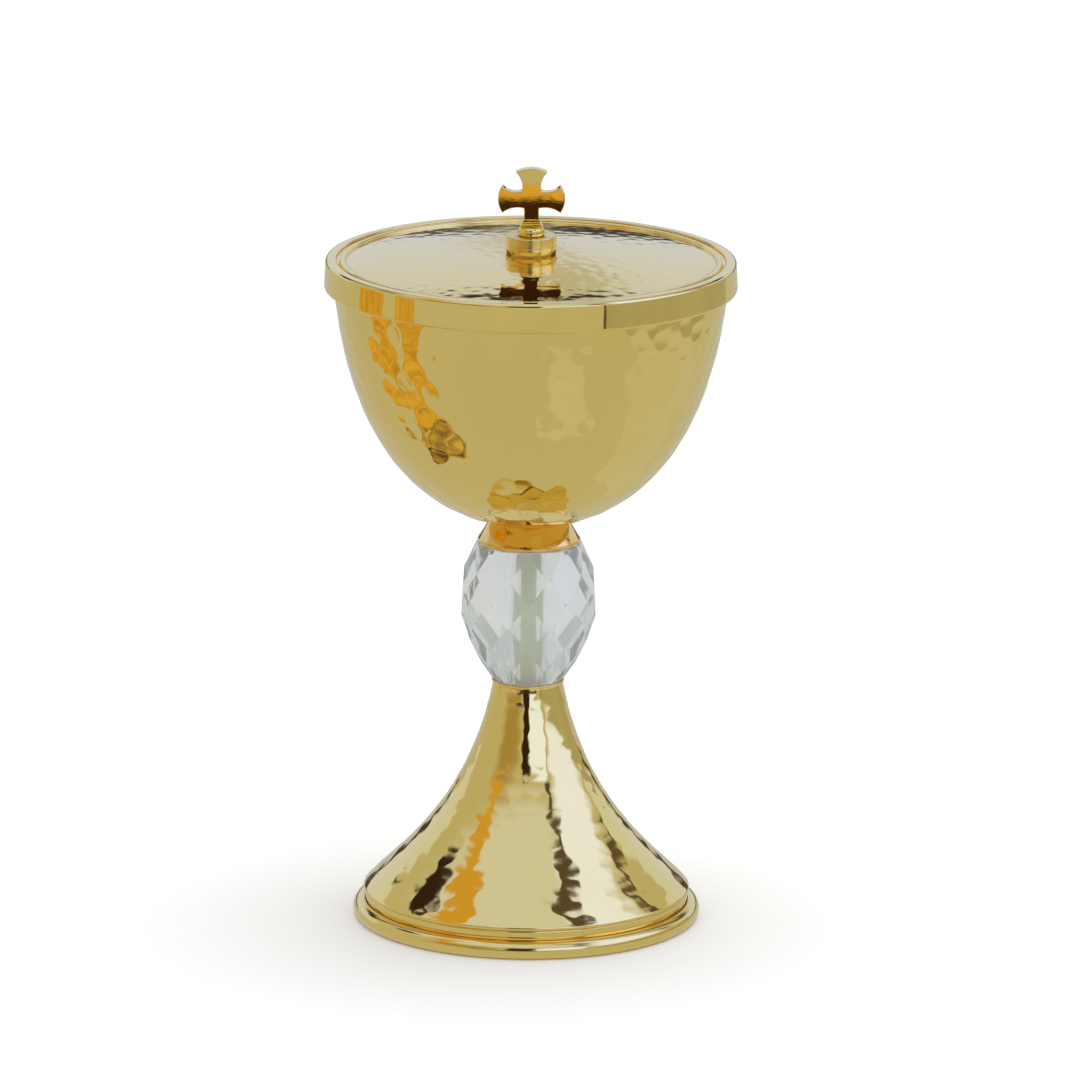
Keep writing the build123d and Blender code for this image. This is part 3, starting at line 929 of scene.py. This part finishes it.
def cards():
    """What the polished gold mirrors near it: the dimmer table, warm strips and a grey screen."""
    table = glow("table_glow", (0.70, 0.70, 0.69), (0.66, 0.66, 0.65), 1.5)
    card("table_mirrored", level(0.4 * MM), table)
    clear = glow("table_clear", (0.72, 0.73, 0.72), (0.66, 0.68, 0.67), 1.5, tint=(1, 1, 1))
    card("table_through", level(0.5 * MM), clear, through=True)

    # Left of the vessel: two warm strips that meet in a mottled knot near the foot.
    warm = glow("warm_glow", (0.56, 0.30, 0.04), (0.96, 0.64, 0.14), 16)
    deep = glow("deep_glow", (0.05, 0.02, 0.01), (1.0, 0.74, 0.28), 55)
    card("warm_knot", strip(0.13, (-46, -90), 0.22, (-62, -92)), deep)
    card("warm_front", strip(0.20, (-66, -84), 1.5, (-66, -79)), warm)
    card("warm_back", strip(0.24, (-84, -94), 0.47, (-87, -108)), warm)
    card("warm_back_far", strip(0.47, (-87, -108), 1.5, (-88, -108)), warm)

    # In front, where the cross's face looks: a dark strip with an amber one beyond it.
    half_width, dark_near, dark_far, amber_far = 0.2, 0.90, 0.980, 1.007
    amber = glow("amber_glow", (0.95, 0.62, 0.14), (0.85, 0.50, 0.10), 9)
    card("warm_line", across(dark_far, amber_far, half_width), amber)
    brown = glow("brown_glow", (0.045, 0.02, 0.015), (0.07, 0.03, 0.02), 4)
    card("dark_line", across(dark_near, dark_far, half_width), brown)

    # Right of the vessel: pale light on the table, and a grey screen with a dark edge.
    pale = glow("pale_glow", (0.72, 0.75, 0.84), (0.70, 0.71, 0.73), 5)
    card("pale_patch", strip(0.10, (80, 130), 0.52, (62, 118)), pale)
    faint = glow("faint_window", (0.74, 0.76, 0.82), (0.72, 0.73, 0.76), 8)
    card("window_glow", strip(0.17, (12, 40), 0.40, (10, 30)), faint)
    screen_height, screen_place, edge_place = 0.15, 0.45, 0.448
    grey = glow("grey_glow", (0.48, 0.48, 0.45), (0.56, 0.56, 0.53), 4)
    card("grey_screen", upright(screen_place, -0.53, 0.44, screen_height), grey)
    dark = glow("dark_glow", (0.08, 0.05, 0.03), (0.14, 0.08, 0.04), 4)
    card("screen_edge", upright(edge_place, -0.55, -0.525, screen_height), dark)


def softbox(name, place, aim, width, height, power):
    """Rectangular area light that points at a place."""
    light = bpy.data.lights.new(name, "AREA")
    light.shape = "RECTANGLE"
    light.size, light.size_y = width, height
    light.energy = power
    lamp = bpy.data.objects.new(name, light)
    lamp.location = place
    lamp.rotation_euler = (Vector(aim) - Vector(place)).to_track_quat("-Z", "Y").to_euler()
    lamp.visible_glossy = False
    bpy.context.scene.collection.objects.link(lamp)


class Room:
    """The light from each direction.

    Directions are azimuth and elevation in degrees, with azimuth 0 in front and 90 to the right.
    """

    def __init__(self):
        world = bpy.data.worlds.new("studio")
        bpy.context.scene.world = world
        world.use_nodes = True
        self.tree = world.node_tree
        self.background = self.tree.nodes["Background"]
        way = self.tree.nodes.new("ShaderNodeTexCoord").outputs["Generated"]
        waver = self.tree.nodes.new("ShaderNodeTexNoise")
        sockets(waver, {"Scale": 4.0, "Detail": 3.0})
        self.link(way, waver.inputs["Vector"])
        sway = self.math("MULTIPLY", self.math("SUBTRACT", waver.outputs["Fac"], 0.5), 14)
        parts = self.tree.nodes.new("ShaderNodeSeparateXYZ")
        self.link(way, parts.inputs["Vector"])
        forward = self.math("MULTIPLY", parts.outputs["Y"], -1)
        azimuth = self.math("DEGREES", self.math("ARCTAN2", parts.outputs["X"], forward))
        elevation = self.math("DEGREES", self.math("ARCSINE", parts.outputs["Z"]))
        self.azimuth = self.math("ADD", azimuth, sway)
        self.elevation = self.math("ADD", elevation, self.math("MULTIPLY", sway, 0.4))
        self.behind = self.math("ABSOLUTE", self.azimuth)
        drawn_out = self.tree.nodes.new("ShaderNodeMapping")
        drawn_out.inputs["Scale"].default_value = (1, 1, 0.15)
        self.link(way, drawn_out.inputs["Vector"])
        lines = self.tree.nodes.new("ShaderNodeTexNoise")
        sockets(lines, {"Scale": 42.0, "Detail": 1.0})
        self.link(drawn_out.outputs["Vector"], lines.inputs["Vector"])
        self.streaks = self.between(lines.outputs["Fac"], 0.5, 1.0, 0.12)

    def link(self, source, target):
        if isinstance(source, (int, float)):
            target.default_value = source
        else:
            self.tree.links.new(source, target)

    def math(self, operation, first, second=0.0):
        node = self.tree.nodes.new("ShaderNodeMath")
        node.operation = operation
        self.link(first, node.inputs[0])
        self.link(second, node.inputs[1])
        return node.outputs["Value"]

    def between(self, value, low, high, soft):
        """1 where the value is from low to high, fading to 0 outside over soft."""
        node = self.tree.nodes.new("ShaderNodeMapRange")
        node.interpolation_type = "SMOOTHSTEP"
        middle, half = (low + high) / 2, (high - low) / 2
        self.link(self.math("ABSOLUTE", self.math("SUBTRACT", value, middle)), node.inputs["Value"])
        sockets(node, {"From Min": half - soft / 2, "From Max": half + soft / 2})
        sockets(node, {"To Min": 1.0, "To Max": 0.0})
        return node.outputs["Result"]

    def patch(self, onto, azimuths, elevations, colour, soft=4.0, behind=False):
        """Lay a soft-edged patch of colour over what is there."""
        around = self.between(self.behind if behind else self.azimuth, *azimuths, soft)
        factor = self.math("MULTIPLY", around, self.between(self.elevation, *elevations, soft))
        return self.mix(factor, onto, colour)

    def mix(self, factor, first, second, blend="MIX"):
        node = self.tree.nodes.new("ShaderNodeMix")
        node.data_type = "RGBA"
        node.blend_type = blend
        self.link(factor, node.inputs["Factor"])
        for socket, colour in (("A", first), ("B", second)):
            if isinstance(colour, tuple):
                node.inputs[socket].default_value = (*colour, 1)
            else:
                self.link(colour, node.inputs[socket])
        return node.outputs["Result"]


def surroundings():
    """White light for the floor, streaky pale light for the crystal, and a room for the gold to mirror."""
    room = Room()
    black, dark, brown = (0.04, 0.02, 0.02), (0.10, 0.07, 0.06), (0.12, 0.09, 0.07)
    amber = (0.80, 0.49, 0.10)

    # Grey walls under a cool ceiling, with a bright wall and a thin dark edge behind.
    seen = room.mix(room.between(room.elevation, -90, 42, 20), (0.83, 0.94, 1.55), (0.66, 0.66, 0.62))
    seen = room.patch(seen, (120, 180), (5, 25), (0.83, 0.92, 1.28), 2, behind=True)
    seen = room.patch(seen, (140, 180), (23.3, 30), (0.05, 0.04, 0.03), 1.5, behind=True)

    # In front, from left to right: warm wall, dark gap and two windows.
    seen = room.patch(seen, (-66, -24), (3, 34), (0.50, 0.38, 0.18), 16)
    seen = room.patch(seen, (-14, 7), (-3, 36), black, 3)
    seen = room.patch(seen, (8, 41), (7.5, 34), (1.1, 1.4, 3.3), 3)
    seen = room.patch(seen, (50, 108), (10, 70), (1.10, 1.34, 3.3), 12)

    # A dark beam that rises to the right, and three posts behind.
    seen = room.patch(seen, (38, 45), (34, 48), dark, 3)
    seen = room.patch(seen, (46, 57), (45, 60), brown, 4)
    seen = room.patch(seen, (54, 74), (57, 78), brown, 5)
    seen = room.patch(seen, (116, 121), (25, 70), brown, 3)
    seen = room.patch(seen, (140, 154), (28, 70), dark, 5)
    seen = room.patch(seen, (-152, -140), (28, 64), dark, 5)

    # An amber beam that rises to the left, with a dark patch beyond it.
    seen = room.patch(seen, (-68, -55), (29, 40), amber, 3)
    seen = room.patch(seen, (-82, -63), (38, 51), amber, 3)
    seen = room.patch(seen, (-100, -70), (49, 68), amber, 4)
    seen = room.patch(seen, (-124, -104), (39, 49), black, 3)

    # Dark lines low on the horizon.
    seen = room.patch(seen, (-34, 26), (2, 6.5), (0.06, 0.04, 0.03), 2)
    seen = room.patch(seen, (50, 150), (-1, 2.5), dark, 2)
    seen = room.patch(seen, (150, 180), (-8, 5.5), (0.08, 0.06, 0.05), 2, behind=True)

    seen = room.mix(1.0, seen, GOLD_LIGHT, "MULTIPLY")

    pale = room.mix(room.streaks, (0.54, 0.57, 0.55), (0.80, 0.82, 0.82))
    dim = room.mix(room.streaks, (0.42, 0.45, 0.43), (0.62, 0.64, 0.63))
    through = room.mix(room.between(room.elevation, -90, 30, 40), pale, dim)
    paths = room.tree.nodes.new("ShaderNodeLightPath")
    seen = room.mix(paths.outputs["Is Glossy Ray"], (0.82, 0.82, 0.82), seen)
    seen = room.mix(paths.outputs["Is Transmission Ray"], seen, through)
    room.link(seen, room.background.inputs["Color"])


def camera():
    """Long lens, a little above the lid, looking slightly down."""
    data = bpy.data.cameras.new("camera")
    data.lens = 372.2
    data.sensor_width = 36
    data.clip_start, data.clip_end = 0.1, 50
    shot = bpy.data.objects.new("camera", data)
    shot.location = (3.2 * MM, -3.15, 0.9016)
    down, roll = math.radians(14.06), math.radians(0.45)
    shot.rotation_mode = "QUATERNION"
    aim = Matrix.Rotation(math.pi / 2 - down, 3, "X") @ Matrix.Rotation(roll, 3, "Z")
    shot.rotation_quaternion = aim.to_quaternion()
    bpy.context.scene.collection.objects.link(shot)
    bpy.context.scene.camera = shot


floor()
cards()
surroundings()
softbox("overhead", (0.25, 0.35, 4.0), (0, 0, 0.1), 2.4, 2.4, 63)
camera()
bpy.context.scene.view_settings.view_transform = "Standard"
# Light crosses the crystal many times before it leaves.
bpy.context.scene.cycles.max_bounces = 32
bpy.context.scene.cycles.glossy_bounces = 20
bpy.context.scene.cycles.transmission_bounces = 24
